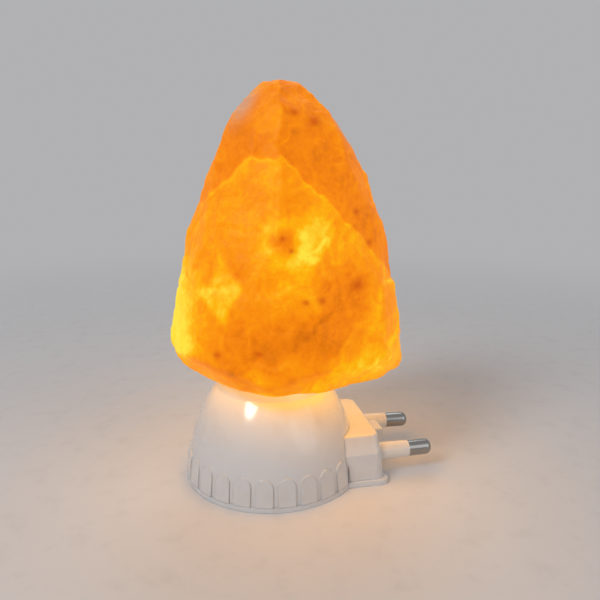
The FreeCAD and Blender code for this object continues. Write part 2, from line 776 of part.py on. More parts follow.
def make_centre_contact():
    """Brass strip: a lug under the holder, a riser, and a spring tongue under the bulb."""
    body = new_body("holder_centre_contact")
    strip = size.contact_strip
    floor = size.holder_bottom + size.holder_floor
    riser = -(size.contact_passage - size.riser_inset)
    tongue_top = size.bulb_tip - size.bulb_running_gap
    bend = floor + size.contact_strip
    profile = new_sketch(body, "centre_contact_bend", "XZ_Plane")
    draw_outline(profile, [
        (-(size.lug_x + size.lug_reach), lug_bottom),
        (riser, lug_bottom),
        (riser, bend),
        (0, tongue_top - strip),
        (size.button_radius, tongue_top - strip),
        (size.button_radius, tongue_top),
        (0, tongue_top),
        (riser - strip, bend + strip),
        (riser - strip, size.holder_bottom),
        (-(size.lug_x + size.lug_reach), size.holder_bottom),
    ])
    pad(body, profile, size.tongue_width, both_ways=True)
    hole = new_sketch(body, "centre_lug_hole", "XY_Plane", lug_bottom)
    draw_circle(hole, -size.lug_x, 0, size.terminal_radius + size.fit_gap / 4)
    pocket(body, hole, strip, reverse=True)
    return body


# ---------------------------------------------------------------------------------------------
# Inner wires: one insulated lead from each pin's tail to its terminal
# ---------------------------------------------------------------------------------------------
def rounded_route(points):
    """Straight runs joined by tangent arcs, as large as the shorter run allows."""
    edges = []
    last = points[0]
    for index in range(1, len(points) - 1):
        before, corner, after = points[index - 1], points[index], points[index + 1]
        back = (before - corner).normalize()
        ahead = (after - corner).normalize()
        half_turn = (math.pi - back.getAngle(ahead)) / 2
        reach = 0.45 * min((before - corner).Length, (after - corner).Length)
        radius = reach / math.tan(half_turn)
        start, finish = corner + back * reach, corner + ahead * reach
        middle_way = (back + ahead).normalize()
        middle = corner + middle_way * (radius / math.cos(half_turn) - radius)
        edges.append(Part.LineSegment(last, start).toShape())
        edges.append(Part.Arc(start, middle, finish).toShape())
        print("bend radius", round(radius, 2))
        last = finish
    edges.append(Part.LineSegment(last, points[-1]).toShape())
    return Part.Wire(edges)


def make_wire(name, side):
    radius = number("wire_radius")
    behind_tip = number("pin_tip") - carrier_rear.number + number("pin_tail")
    turn = math.radians(number("pin_converge"))
    tail = Vector(side * (number("pin_tip_spacing") / 2 + behind_tip * math.sin(turn)),
                  number("pin_tip") - behind_tip * math.cos(turn), number("pin_height"))
    backwards = Vector(side * math.sin(turn), -math.cos(turn), 0)
    lug = number("lug_x")
    end_y = number("terminal_head_radius") + number("fit_gap")
    level = wire_height.number
    points = [
        tail,
        tail + backwards * number("wire_straight"),
        Vector(side * (lug + number("wire_bow")), end_y + number("wire_approach"),
               level - number("wire_sag")),
        Vector(side * lug, end_y, level),
    ]
    route = rounded_route(points)
    section = Part.Wire(Part.makeCircle(radius, tail, backwards))
    tube = route.makePipeShell([section], True, False)
    expected = math.pi * radius ** 2 * route.Length
    print(name, "volume", round(tube.Volume, 3), "section times length", round(expected, 3))
    feature = doc.addObject("Part::Feature", name)
    feature.Label = name
    feature.Shape = tube
    return feature


# ---------------------------------------------------------------------------------------------
# Bulb: glass tube, screw cap, insulator, button, stem, support wires, filament
# ---------------------------------------------------------------------------------------------
# Inside of the glass crown, in straight steps: share of the crown's height at each corner
CROWN_STEPS = (0.95, 0.8, 0.5)


def make_bulb_glass():
    body = new_body("bulb_glass")
    wall = size.glass_wall
    bottom = size.cap_top - size.glass_sunk
    shoulder = size.cap_top + size.glass_shoulder
    profile = new_sketch(body, "glass_profile", "XZ_Plane")
    crown = bulb_top - size.bulb_radius
    inside = size.bulb_radius - wall
    inner_crown = [(inside * math.sqrt(1 - share ** 2), crown + inside * share)
                   for share in CROWN_STEPS]
    draw_outline(profile, [
        (size.glass_neck_radius, bottom),
        (size.glass_neck_radius, size.cap_top),
        (size.bulb_radius, shoulder),
        (size.bulb_radius, crown),
        (0, bulb_top),
        (0, crown + inside * CROWN_STEPS[0]),
    ] + inner_crown + [
        (inside, crown),
        (size.bulb_radius - wall, shoulder),
        (size.glass_neck_radius - wall, size.cap_top),
        (size.glass_neck_radius - wall, bottom),
    ], {3: ((Free(0), crown), True)})
    revolve(body, profile)
    return body


def make_cap_insulator():
    """Black glass cone that closes the cap round its button."""
    body = new_body("bulb_cap_insulator")
    profile = new_sketch(body, "insulator_profile", "XZ_Plane")
    top = size.cap_bottom + size.button_height
    inner = size.cap_radius - size.cap_wall
    seat = size.bulb_tip + size.button_height
    edge = inner - size.seal_gap
    draw_outline(profile, [
        (0, seat), (size.button_radius, seat), (inner - size.insulator_bevel, size.cap_bottom),
        (edge, size.cap_bottom + size.insulator_bevel), (edge, top), (0, top),
    ])
    revolve(body, profile)
    return body


def make_bulb_contact():
    body = new_body("bulb_contact")
    profile = new_sketch(body, "button_profile", "XZ_Plane")
    height = size.button_height
    draw_outline(profile, [
        (0, size.bulb_tip), (size.button_radius / 2, size.bulb_tip),
        (size.button_radius, size.bulb_tip + height / 2),
        (size.button_radius, size.bulb_tip + height), (0, size.bulb_tip + height),
    ])
    revolve(body, profile)
    return body


def make_bulb_stem():
    """Glass mount: wide foot sealed to the neck, narrow column, flat pinch on top."""
    body = new_body("bulb_stem")
    profile = new_sketch(body, "stem_profile", "XZ_Plane")
    foot = size.cap_top - size.glass_sunk
    column = size.button_radius / 2
    flare = size.glass_neck_radius - size.glass_wall - size.seal_gap
    draw_outline(profile, [
        (0, foot), (flare, foot), (flare, foot + size.glass_wall),
        (column, foot + size.stem_height / 2), (column, foot + size.stem_height),
        (0, foot + size.stem_height),
    ])
    revolve(body, profile)
    return body


def make_support_wires():
    """Two stiff wires from the stem's pinch out to the ends of the filament."""
    wires = []
    radius = number("support_wire_radius")
    foot = number("cap_top") - number("glass_sunk") + number("stem_height")
    for side in (-1, 1):
        low = Vector(side * number("support_spread"), 0, foot + radius)
        high = Vector(side * number("filament_half_span"), 0, number("filament_height"))
        wires.append(Part.makeCylinder(radius, (high - low).Length, low, high - low))
    feature = doc.addObject("Part::Feature", "bulb_support_wires")
    feature.Label = "bulb_support_wires"
    base = Part.makeCylinder(number("pinch_radius"), 2 * radius, Vector(0, 0, foot))
    feature.Shape = wires[0].multiFuse([wires[1], base]).removeSplitter()
    return feature


def make_filament():
    """Coiled filament, kept as one slim arched rod between the support wires."""
    radius = number("filament_radius")
    span = number("filament_half_span")
    height = number("filament_height") + number("filament_lift")
    route = Part.Arc(Vector(-span, 0, height), Vector(0, 0, height + span / 2),
                     Vector(span, 0, height)).toShape()
    start = route.tangentAt(route.FirstParameter)
    section = Part.Wire(Part.makeCircle(radius, Vector(-span, 0, height), start))
    feature = doc.addObject("Part::Feature", "bulb_filament")
    feature.Label = "bulb_filament"
    feature.Shape = Part.Wire([route]).makePipeShell([section], True, False)
    return feature


# ---------------------------------------------------------------------------------------------
# Salt crystal: rough-hewn cone of flat flakes with a sawn base and a bore for the bulb
# ---------------------------------------------------------------------------------------------
# Rows of flakes up the crystal: height above the sawn base, flakes in the row, first direction
FLAKE_ROWS = [(7.0, 11, 8.0), (20.0, 9, 26.0), (33.0, 9, 5.0), (46.0, 7, 30.0), (57.0, 6, 0.0),
              (63.5, 5, 20.0)]
# Steps of the two sine waves that make the flakes uneven, in radians from flake to flake and
# from row to row
WANDER_STEP = 2.1
BITE_STEP = 1.7
BITE_ROW_STEP = 2.6
# Flakes struck off the sawn base's edge: direction, how far the plane leans out as it rises,
# and its reach from the crystal's middle at the base
EDGE_FLAKES = [(200, 24, 24.2), (222, 42, 20.4), (240, 38, 21.2), (262, 34, 22.7),
               (287, 34, 21.4), (302, 38, 21.4), (323, 34, 24.4), (343, 16, 28.3),
               (14, 14, 28.4), (58, 30, 24.4), (104, 26, 22.6), (150, 30, 23.6)]


def flake_plane(direction, height, bite):
    """Point and outward normal of a flake: tangent to the smooth outline, moved in by bite.

    The outline is (x/a)^2 + (y/b)^2 + t^p = 1, with t the height from the widest level to the
    tip as a share, and p the shoulder power.
    """
    half_width, half_depth = number("crystal_half_width"), number("crystal_half_depth")
    widest, top = number("crystal_widest"), number("crystal_top")
    power = number("crystal_shoulder")
    share = max(height - widest, 0.01) / (top - widest)
    narrowing = math.sqrt(max(1 - share ** power, 0.0))
    angle = math.radians(direction)
    x = half_width * narrowing * math.cos(angle)
    y = half_depth * narrowing * math.sin(angle)
    slope = power * share ** (power - 1) / (top - widest)
    normal = Vector(2 * x / half_width ** 2, 2 * y / half_depth ** 2, slope).normalize()
    return Vector(x, y, height) - normal * bite, normal


def strike(block, point, normal):
    """Take away everything beyond a plane."""
    reach = 4 * number("crystal_half_width")
    chip = Part.makeBox(reach, reach, reach, Vector(-reach / 2, -reach / 2, 0))
    chip.Placement = Placement(point, Rotation(Vector(0, 0, 1), normal))
    return block.cut(chip)


def make_salt_crystal():
    seat = number("seat_height")
    reach = 2 * number("crystal_half_width")
    top = number("crystal_top")
    block = Part.makeBox(2 * reach, 2 * reach, top - seat, Vector(-reach, -reach, seat))
    for level, (rise, count, first) in enumerate(FLAKE_ROWS):
        for index in range(count):
            stray = number("flake_wander") * math.sin(WANDER_STEP * index + level)
            direction = first + 360.0 * index / count + stray
            wave = math.sin(BITE_STEP * index + BITE_ROW_STEP * level)
            bite = number("crystal_bite") * (1 + wave)
            block = strike(block, *flake_plane(direction, seat + rise, bite))
    for direction, lean, span in EDGE_FLAKES:
        angle = math.radians(direction)
        outward = Vector(math.cos(angle), math.sin(angle), -math.tan(math.radians(lean)))
        spot = Vector(span * math.cos(angle), span * math.sin(angle), seat)
        block = strike(block, spot, outward.normalize())
    # The outline's wide way runs from the back to the pins' side
    turn = Rotation(Vector(0, 0, 1), 90.0 - number("crystal_turn"))
    middle = turn.multVec(Vector(number("crystal_offset"), 0, 0))
    block.Placement = Placement(middle, turn)
    bore = Part.makeCylinder(number("bore_radius"), number("bore_depth"), Vector(0, 0, seat))
    mouth = Part.makeCone(number("bore_radius") + number("bore_mouth"), number("bore_radius"),
                          number("bore_mouth"), Vector(0, 0, seat))
    feature = doc.addObject("Part::Feature", "salt_crystal")
    feature.Label = "salt_crystal"
    feature.Shape = block.cut(bore.fuse(mouth)).removeSplitter()
    return feature


# ---------------------------------------------------------------------------------------------
# The whole lamp
# ---------------------------------------------------------------------------------------------
def make_lamp():
    ears = [(number("post_circle"), 0.0), (-number("post_circle"), 0.0)]
    lugs = [(number("lug_x"), 0.0), (-number("lug_x"), 0.0)]
    return [
        make_dome_housing(),
        make_plug_housing(),
        make_bottom_cover(),
        screw("cover_screws", cover_screw_places, size.screw_head_height,
              size.cover_screw_length, size.screw_radius, size.screw_head_radius,
              size.screw_head_height - size.screw_head_sink),
        make_pin("plug_pin_left", -1),
        make_pin("plug_pin_right", 1),
        make_sleeve("pin_sleeve_left", -1),
        make_sleeve("pin_sleeve_right", 1),
        make_pin_carrier(),
        make_holder_body(),
        make_tube("holder_screw_shell", size.shell_radius, size.shell_wall,
                  size.holder_bottom + size.holder_floor, size.shell_top),
        make_side_contact(),
        make_centre_contact(),
        screw("holder_terminal_screws", lugs, lug_bottom, size.holder_floor,
              size.terminal_radius, size.terminal_head_radius, size.terminal_head_height),
        screw("holder_mounting_screws", ears, size.ear_top - size.ear_thickness,
              size.ear_screw_length, size.screw_radius, size.screw_head_radius,
              size.terminal_head_height),
        make_wire("live_wire", 1),
        make_wire("neutral_wire", -1),
        make_tube("bulb_cap", size.cap_radius, size.cap_wall, size.cap_bottom, size.cap_top),
        make_cap_insulator(),
        make_bulb_contact(),
        make_bulb_glass(),
        make_bulb_stem(),
        make_support_wires(),
        make_filament(),
        make_salt_crystal(),
    ]


pieces = make_lamp()
doc.recompute()
for item in doc.Objects:
    if "Invalid" in item.State or "Error" in item.State:
        raise RuntimeError(item.Name + " failed: " + str(item.State))
for piece in pieces:
    if piece.Shape.isNull() or not piece.Shape.isValid() or not piece.Shape.Solids:
        raise RuntimeError(piece.Label + " has no valid solid")

os.makedirs("parts", exist_ok=True)
for piece in pieces:
    piece.Shape.exportStep("parts/" + piece.Label + ".step")
print(len(pieces), "pieces written")
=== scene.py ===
import math

import bpy
import numpy as np
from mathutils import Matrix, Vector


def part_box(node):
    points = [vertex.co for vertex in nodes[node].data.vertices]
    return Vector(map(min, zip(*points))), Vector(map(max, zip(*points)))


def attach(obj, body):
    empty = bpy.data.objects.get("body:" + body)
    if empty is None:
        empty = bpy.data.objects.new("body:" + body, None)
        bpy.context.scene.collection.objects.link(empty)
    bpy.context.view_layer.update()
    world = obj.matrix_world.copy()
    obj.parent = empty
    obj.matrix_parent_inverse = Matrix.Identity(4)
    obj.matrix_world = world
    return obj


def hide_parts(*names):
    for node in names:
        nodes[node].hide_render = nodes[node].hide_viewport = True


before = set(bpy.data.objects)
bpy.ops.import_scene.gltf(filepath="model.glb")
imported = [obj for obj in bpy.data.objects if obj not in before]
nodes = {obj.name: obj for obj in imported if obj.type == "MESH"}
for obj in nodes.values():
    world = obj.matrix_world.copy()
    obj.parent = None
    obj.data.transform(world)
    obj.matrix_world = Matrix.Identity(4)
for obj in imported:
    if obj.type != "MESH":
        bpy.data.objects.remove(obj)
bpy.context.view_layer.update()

# ---------------------------------------------------------------------------------------------
# White mouldings: dome housing, plug housing, bottom cover and the sleeves on the pins.
# Glossy injection-moulded plastic, clipped and screwed together from below. The gloss is uneven,
# with the faint ripple of the mould, light rub marks and a little dust in patches.
# ---------------------------------------------------------------------------------------------
MM = 0.001
MOULD_EDGE = 0.45 * MM      # radius that the mould leaves on edges
WHITE = (0.74, 0.75, 0.77, 1)
DUSTY_WHITE = (0.68, 0.67, 0.65, 1)
SLEEVE_WHITE = (0.82, 0.80, 0.76, 1)
SOILED = 0.9                # a dusty surface's colour, as a share of its clean one
STREAK_FROM, STREAK_GAIN = 0.62, 6.0
DUST_FROM, DUST_GAIN = 0.52, 3.0


def add(tree, kind, **settings):
    """A shader node with its properties and its plain inputs set by name."""
    node = tree.nodes.new(kind)
    for name, value in settings.items():
        if name in node.bl_rna.properties:
            setattr(node, name, value)
        else:
            node.inputs[name.replace("_", " ")].default_value = value
    return node


def join(tree, start, end):
    """Link an output to an input."""
    tree.links.new(start, end)


def maths(tree, operation, first, second=0.0, clamp=False):
    """One sum on sockets or plain numbers."""
    node = tree.nodes.new("ShaderNodeMath")
    node.operation = operation
    node.use_clamp = clamp
    for place, value in enumerate((first, second)):
        if isinstance(value, bpy.types.NodeSocket):
            tree.links.new(value, node.inputs[place])
        else:
            node.inputs[place].default_value = value
    return node.outputs[0]


def blend_colours(tree, share, low, high):
    """Colour that goes from low to high as share goes from 0 to 1."""
    node = tree.nodes.new("ShaderNodeMix")
    node.data_type = "RGBA"
    tree.links.new(share, node.inputs["Factor"])
    for place, value in ((6, low), (7, high)):
        if isinstance(value, bpy.types.NodeSocket):
            tree.links.new(value, node.inputs[place])
        else:
            node.inputs[place].default_value = value
    return node.outputs[2]


def make_wear_group():
    """Rub marks, grain and dust, for every hard surface of the lamp."""
    group = bpy.data.node_groups.new("surface_wear", "ShaderNodeTree")
    for name, value in (("Grain", 900.0), ("Roughness", 0.3), ("Rubbed", 0.15)):
        socket = group.interface.new_socket(name, in_out="INPUT", socket_type="NodeSocketFloat")
        socket.default_value = value
    for name in ("Roughness", "Height", "Dust"):
        group.interface.new_socket(name, in_out="OUTPUT", socket_type="NodeSocketFloat")
    given = group.nodes.new("NodeGroupInput")
    made = group.nodes.new("NodeGroupOutput")
    place = group.nodes.new("ShaderNodeTexCoord").outputs["Object"]

    smudge = add(group, "ShaderNodeTexNoise", Scale=140.0, Detail=4.0, Roughness=0.6)
    grain = add(group, "ShaderNodeTexNoise", Detail=2.0, Roughness=0.5)
    # Rub marks are noise drawn out round the lamp, thinned to a few fine streaks
    drawn = add(group, "ShaderNodeMapping")
    drawn.inputs["Scale"].default_value = (180.0, 180.0, 2600.0)
    streak = add(group, "ShaderNodeTexNoise", Scale=1.0, Detail=3.0, Roughness=0.7)
    join(group, place, smudge.inputs["Vector"])
    join(group, place, grain.inputs["Vector"])
    join(group, given.outputs["Grain"], grain.inputs["Scale"])
    join(group, place, drawn.inputs["Vector"])
    join(group, drawn.outputs["Vector"], streak.inputs["Vector"])

    fine = maths(group, "SUBTRACT", streak.outputs["Fac"], STREAK_FROM)
    fine = maths(group, "MULTIPLY", fine, STREAK_GAIN, clamp=True)
    uneven = maths(group, "SUBTRACT", smudge.outputs["Fac"], 0.5)
    rubbed = maths(group, "MULTIPLY", maths(group, "ADD", uneven, fine), given.outputs["Rubbed"])
    rough = maths(group, "ADD", given.outputs["Roughness"], rubbed, clamp=True)
    height = maths(group, "ADD", maths(group, "MULTIPLY", smudge.outputs["Fac"], 0.7),
                   maths(group, "MULTIPLY", grain.outputs["Fac"], 0.3))
    dust = maths(group, "SUBTRACT", smudge.outputs["Fac"], DUST_FROM)
    dust = maths(group, "MULTIPLY", dust, DUST_GAIN, clamp=True)
    join(group, rough, made.inputs["Roughness"])
    join(group, height, made.inputs["Height"])
    join(group, dust, made.inputs["Dust"])
    return group


wear_group = make_wear_group()


def hard_material(name, colour, roughness, rubbed=0.12, grain=900.0, ripple=0.03 * MM,
                  dusty=None, edge=0.0, **constants):
    """Worn hard surface. Constants go on the shader's own sockets. Where an edge is given, it is
    the radius that corners look rounded by."""
    material = bpy.data.materials.new(name)
    material.use_nodes = True
    tree = material.node_tree
    shader = tree.nodes["Principled BSDF"]
    for socket, value in constants.items():
        shader.inputs[socket.replace("_", " ")].default_value = value
    wear = tree.nodes.new("ShaderNodeGroup")
    wear.node_tree = wear_group
    wear.inputs["Grain"].default_value = grain
    wear.inputs["Roughness"].default_value = roughness
    wear.inputs["Rubbed"].default_value = rubbed
    bump = add(tree, "ShaderNodeBump", Distance=ripple, Strength=0.5)
    join(tree, wear.outputs["Height"], bump.inputs["Height"])
    join(tree, bump.outputs["Normal"], shader.inputs["Normal"])
    if edge:
        rounded = add(tree, "ShaderNodeBevel", samples=6, Radius=edge)
        join(tree, rounded.outputs["Normal"], bump.inputs["Normal"])
    join(tree, wear.outputs["Roughness"], shader.inputs["Roughness"])
    soiled = dusty or tuple(c * SOILED for c in colour[:3]) + (1,)
    join(tree, blend_colours(tree, wear.outputs["Dust"], colour, soiled),
         shader.inputs["Base Color"])
    return material


def dress(material, *names):
    """Give CAD nodes that keep their own shape a better material."""
    for name in names:
        nodes[name].data.materials.clear()
        nodes[name].data.materials.append(material)


white_plastic = hard_material("white_moulded_plastic", WHITE, 0.16, Coat_Weight=0.4,
                              Coat_Roughness=0.08, dusty=DUSTY_WHITE, edge=MOULD_EDGE)
sleeve_plastic = hard_material("sleeve_plastic", SLEEVE_WHITE, 0.3)
dress(white_plastic, "dome_housing", "plug_housing", "bottom_cover")
dress(sleeve_plastic, "pin_sleeve_left", "pin_sleeve_right")

# ---------------------------------------------------------------------------------------------
# Plug pins and screws. The pins are turned brass with nickel plating, dulled and finely scored
# along their length by use in sockets. The screws are zinc-plated steel.
# ---------------------------------------------------------------------------------------------
nickel = hard_material("pin_nickel", (0.36, 0.35, 0.33, 1), 0.20, rubbed=0.2, Metallic=1.0,
                       dusty=(0.24, 0.23, 0.21, 1))
zinc = hard_material("screw_zinc", (0.55, 0.55, 0.56, 1), 0.32, Metallic=1.0)
dress(nickel, "plug_pin_left", "plug_pin_right")
dress(zinc, "cover_screws", "holder_terminal_screws", "holder_mounting_screws",
      "bulb_support_wires")

# ---------------------------------------------------------------------------------------------
# Lamp holder, its contacts, the pin carrier and the leads. Plain moulded insulators, pressed
# brass strips, and two single-core leads. They are inside the base and show from above only
# when the crystal is off.
# ---------------------------------------------------------------------------------------------
insulator = hard_material("holder_moulding", (0.78, 0.76, 0.70, 1), 0.5, grain=1600.0)
brass = hard_material("pressed_brass", (0.72, 0.52, 0.22, 1), 0.28, rubbed=0.2, Metallic=1.0,
                      dusty=(0.50, 0.33, 0.13, 1))
brown_lead = hard_material("brown_lead", (0.16, 0.06, 0.025, 1), 0.45)
blue_lead = hard_material("blue_lead", (0.03, 0.10, 0.42, 1), 0.45)
dress(insulator, "holder_body", "pin_carrier")
dress(brass, "holder_side_contact", "holder_centre_contact")
dress(brown_lead, "live_wire")
dress(blue_lead, "neutral_wire")

THREAD_PITCH = 2.82 * MM
THREAD_DEPTH = 0.45 * MM
SHEET = 0.25 * MM
SHELL_ROWS, SHELL_COLUMNS = 90, 72


def put_mesh(name, points, faces, material, body, slot, *stands_for):
    """Object at the origin from points and faces, riding on a body for some CAD nodes."""
    mesh = bpy.data.meshes.new(name)
    mesh.from_pydata(points.reshape(-1, 3).tolist(), [], faces)
    mesh.polygons.foreach_set("use_smooth", np.ones(len(mesh.polygons), bool))
    mesh.materials.append(material)
    piece = bpy.data.objects.new(name, mesh)
    bpy.context.scene.collection.objects.link(piece)
    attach(piece, body)
    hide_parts(*stands_for)
    return piece


def ring_faces(rows, columns, closed=False):
    """Quads between rings of points, each ring closed on itself. With closed, the last ring
    also joins the first. Rings that run down and round from +X to +Y face outwards."""
    row = np.arange(rows if closed else rows - 1)[:, None]
    column = np.arange(columns)[None, :]
    below = (row + 1) % rows
    after = (column + 1) % columns
    corners = [row * columns + column, below * columns + column, below * columns + after,
               row * columns + after]
    return np.stack([np.broadcast_to(c, (len(row), columns)) for c in corners], -1).reshape(-1, 4)


def threaded_sleeve(name, node, material, body, slot):
    """Rolled thread in thin sheet: the radius is the crest's less a wave half the thread's depth
    high that climbs one pitch a turn, the same on both faces of the sheet, flat at both ends."""
    low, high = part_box(node)
    outer = high.x
    turn = np.linspace(0, 2 * np.pi, SHELL_COLUMNS, endpoint=False)[None, :]
    height = np.linspace(high.z, low.z, SHELL_ROWS)[:, None]
    from_end = np.minimum(high.z - height, height - low.z) / THREAD_PITCH
    fade = np.clip(from_end * 2, 0, 1)
    skin = outer + THREAD_DEPTH / 2 * fade * (np.cos(turn - 2 * np.pi * height / THREAD_PITCH) - 1)

    def rings(radius):
        return np.stack([radius * np.cos(turn), radius * np.sin(turn), height + 0 * turn], -1)

    shell = np.concatenate([rings(skin), rings(skin - SHEET)[::-1]])
    faces = ring_faces(2 * SHELL_ROWS, SHELL_COLUMNS, closed=True).tolist()
    return put_mesh(name, shell, faces, material, body, slot, node)


threaded_sleeve("threaded_shell", "holder_screw_shell", brass, "base", "contact_brass")

# ---------------------------------------------------------------------------------------------
# Bulb: clear glass tube with a rolled 14 mm cap, black glass at the cap's end, a solder button,
# and inside a glass mount with two stiff wires that carry a fine coiled filament.
# ---------------------------------------------------------------------------------------------
COIL_TURNS = 34
COIL_STEPS = 14             # for each turn
COIL_RADIUS = 0.26 * MM
COIL_WIRE = 0.07 * MM
WIRE_SIDES = 6

cap_metal = hard_material("bulb_cap_metal", (0.62, 0.60, 0.56, 1), 0.26, rubbed=0.2, Metallic=1.0)
cap_glass = hard_material("black_cap_glass", (0.012, 0.012, 0.014, 1), 0.12, Coat_Weight=0.5)
solder = hard_material("solder", (0.46, 0.46, 0.47, 1), 0.42, Metallic=1.0)
clear_glass = hard_material("bulb_glass", (1, 1, 1, 1), 0.02, rubbed=0.02, ripple=0.01 * MM,
                            dusty=(0.97, 0.96, 0.93, 1), Transmission_Weight=1.0, IOR=1.46)
tungsten = hard_material("glowing_filament", (0.4, 0.3, 0.2, 1), 0.5,
                         Emission_Color=(1.0, 0.55, 0.18, 1), Emission_Strength=8.0)
dress(cap_glass, "bulb_cap_insulator")
dress(solder, "bulb_contact")
dress(clear_glass, "bulb_glass", "bulb_stem")
threaded_sleeve("threaded_cap", "bulb_cap", cap_metal, "bulb", "cap_nickel")


def coiled_filament():
    """Helix about a half-sine arch between the support wires: a ring of the wire's radius is
    carried along the helix on its own normal and binormal."""
    low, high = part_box("bulb_filament")
    inset = COIL_RADIUS + COIL_WIRE
    span = high.x - inset
    share = np.linspace(0, 1, COIL_TURNS * COIL_STEPS)
    arch = np.stack([span * (2 * share - 1), 0 * share,
                     low.z + inset + (high.z - low.z - 2 * inset) * np.sin(np.pi * share)], -1)
    along = np.gradient(arch, axis=0)
    along /= np.linalg.norm(along, axis=1)[:, None]
    side = np.tile([0.0, 1.0, 0.0], (len(share), 1))
    rise = np.cross(side, along)
    turn = 2 * np.pi * COIL_TURNS * share[:, None]
    line = arch + COIL_RADIUS * (np.cos(turn) * side + np.sin(turn) * rise)
    ahead = np.gradient(line, axis=0)
    ahead /= np.linalg.norm(ahead, axis=1)[:, None]
    first = np.cross(ahead, np.cos(turn) * side + np.sin(turn) * rise)
    first /= np.linalg.norm(first, axis=1)[:, None]
    second = np.cross(ahead, first)
    round_wire = np.linspace(0, 2 * np.pi, WIRE_SIDES, endpoint=False)
    rings = (line[:, None, :] + COIL_WIRE * (np.cos(round_wire)[None, :, None] * first[:, None, :]
             + np.sin(round_wire)[None, :, None] * second[:, None, :]))
    faces = ring_faces(len(share), WIRE_SIDES)[:, ::-1].tolist()
    last = (len(share) - 1) * WIRE_SIDES
    faces.append(list(range(WIRE_SIDES)))
    faces.append([last + i for i in reversed(range(WIRE_SIDES))])
    return put_mesh("filament_coil", rings, faces, tungsten, "bulb", "filament", "bulb_filament")


coiled_filament()

# ---------------------------------------------------------------------------------------------
# Salt crystal: a rough-hewn lump of rock salt, sawn flat below and bored for the bulb. It glows
# from inside, yellow where it is thin or clear and amber where it is thick, with rust-red
# inclusions. Its facets carry painted shade and highlight as if lit from the upper left, and a
# pale rim of light is painted as a frosted skin at both sides of the tip.
# ---------------------------------------------------------------------------------------------
# Places on the crystal are in mm: across is along Y, height along Z, and the front faces +X
AROUND = 352            # points round the crystal
DOWN = 214              # rows from the tip to the sawn edge
TIP_SPREAD = 0.85       # below one, the first rows stand further from the tip
SOFTENING = 4           # passes that round the edges between flakes

# Relief of the skin. Each layer of roughness: share, width in mm, seed
ROUGH_LAYERS = ((0.5, 7.0, 1), (0.28, 3.0, 2), (0.14, 1.4, 3), (0.08, 0.8, 4))
ROUGH_HEIGHT = 1.5      # mm
DENT_DEPTH = 0.22       # mm, for the narrow dents between ripples
DENT_WIDTH = 4.5        # mm
SKIN_LIFT = 0.2         # mm outwards, which makes up for the dents
CHIPS = 260             # small flat chips all over the skin
CHIP_TILT = 0.07        # radians
CHIP_RISE = 0.35        # mm, the most that a chip stands out
CHIP_SINK = 0.60        # mm, and the most that it lies in
CHIP_EASE = 1.6         # mm, over which two chips meet

# The ledge where the upper flakes broke off short. Its waves: height, turn for each mm, start
LEDGE_ACROSS = (-30, -13, -7, 0, 17, 30)
LEDGE_HEIGHT = (58, 73, 79.3, 80, 63.5, 50)
LEDGE_WAVES = ((0.4, 0.8, 0.0), (0.25, 2.1, 1.0))
LEDGE_DEPTH = 0.8       # mm
LEDGE_SOFT = 0.35       # mm, half the height of its slope
LEDGE_FRONT = (1, 9)    # it comes in between these, from the side to the front
LEDGE_RIGHT = (12, 19)  # and fades out between these across
LEDGE_TOP = (84, 92)    # and between these heights

# Cleavage steps that run up the left edge, swaying a little
STRIPE_DEPTH = 0.12     # mm
STRIPE_TURN = 5.5       # radians for each mm across
STRIPE_SWAY = 1.5       # radians
SWAY_TURN = 0.35        # radians for each mm up
STRIPES_LEFT = (15, 21)

BORE_RADIUS = 11.4 * MM
BORE_TOP = 79.0 * MM
BORE_MOUTH = 0.8 * MM

# Glow of the salt, from 0 to 1
BASE_GLOW = 0.54
BORE_GLOW = 0.95        # next to the bulb
CLOUD_GLOW = 0.22
CLOUD_WIDTH = 11 * MM
# Painted shade and highlight: facets turned towards the upper left glow brighter and those turned
# away glow darker, as if lit from there
PAINTED_FACET_SHADE_GAIN = 0.38   # how much a facet's turn changes its glow
PAINTED_LIGHT_FROM = np.array([0.35, -0.65, 0.60])
GLOW_FRONT = (0, 8)     # marks of the front come in between these, from the side to the front
FRONT_GLOW = -0.13
BELOW_LEDGE = 0.20
BELOW_EDGE = (-0.3, 0.6)
LEDGE_GLOW = 0.11       # a bright line just below the ledge
LEDGE_GLOW_DOWN = 0.4   # mm
LEDGE_GLOW_WIDTH = 0.5  # mm
LEDGE_GLOW_RIGHT = (12, 18)
WOBBLE = 2.4            # mm, how far the outlines of patches stray
WOBBLE_WIDTH = 2.6 * MM
PATCHY_LOW = 0.7        # patchy areas have from this share of their gain
PATCHY_RANGE = 0.6      # to this much more
PATCHY_WIDTH = 3.4 * MM
# Each area: where it counts, gain in glow, place, size and lean
AREAS = [("all", 0.55, (-24.0, 46.0), (4.2, 17.0), 0.0),
         ("front", 0.10, (7.5, 62.0), (7.5, 7.0), 0.0),
         ("front", 0.32, (21.0, 33.5), (10.0, 4.0), 0.1),
         ("patchy", -0.36, (0.0, 40.0), (16.0, 6.5), 0.15),
         ("front", -0.20, (14.0, 51.0), (7.0, 6.0), 0.0),
         ("back", 0.25, (4.0, 48.0), (14.0, 14.0), 0.0)]
# Clear patches: gain, share of the wobble that its outline takes, corners anticlockwise
PATCHES = [(0.26, 1.0, [(-18.0, 50.5), (-13.5, 44.5), (-8.6, 52.5), (-13.0, 58.8)]),
           (0.17, -1.6, [(2.0, 60.0), (7.0, 56.5), (12.5, 61.5), (9.5, 67.5), (4.0, 69.0)])]
PATCH_EDGE = (-0.9, 1.1)
# The swirl: a clear ring (gain, radius, width) round a dull core (loss, radius)
SWIRL_MIDDLE = (-0.2, 62.2)
SWIRL_RING = (0.14, 4.4, 1.3)
SWIRL_CORE = (0.22, 1.8)
# Pale rim of light painted as a frosted skin at both sides of the tip, along its outline:
# strength, place, size and lean
PAINTED_RIM_SPOTS = [(0.75, (-6.2, 91.5), (1.6, 4.6), -0.6), (0.6, (15.6, 87.5), (1.3, 5.0), 0.35)]
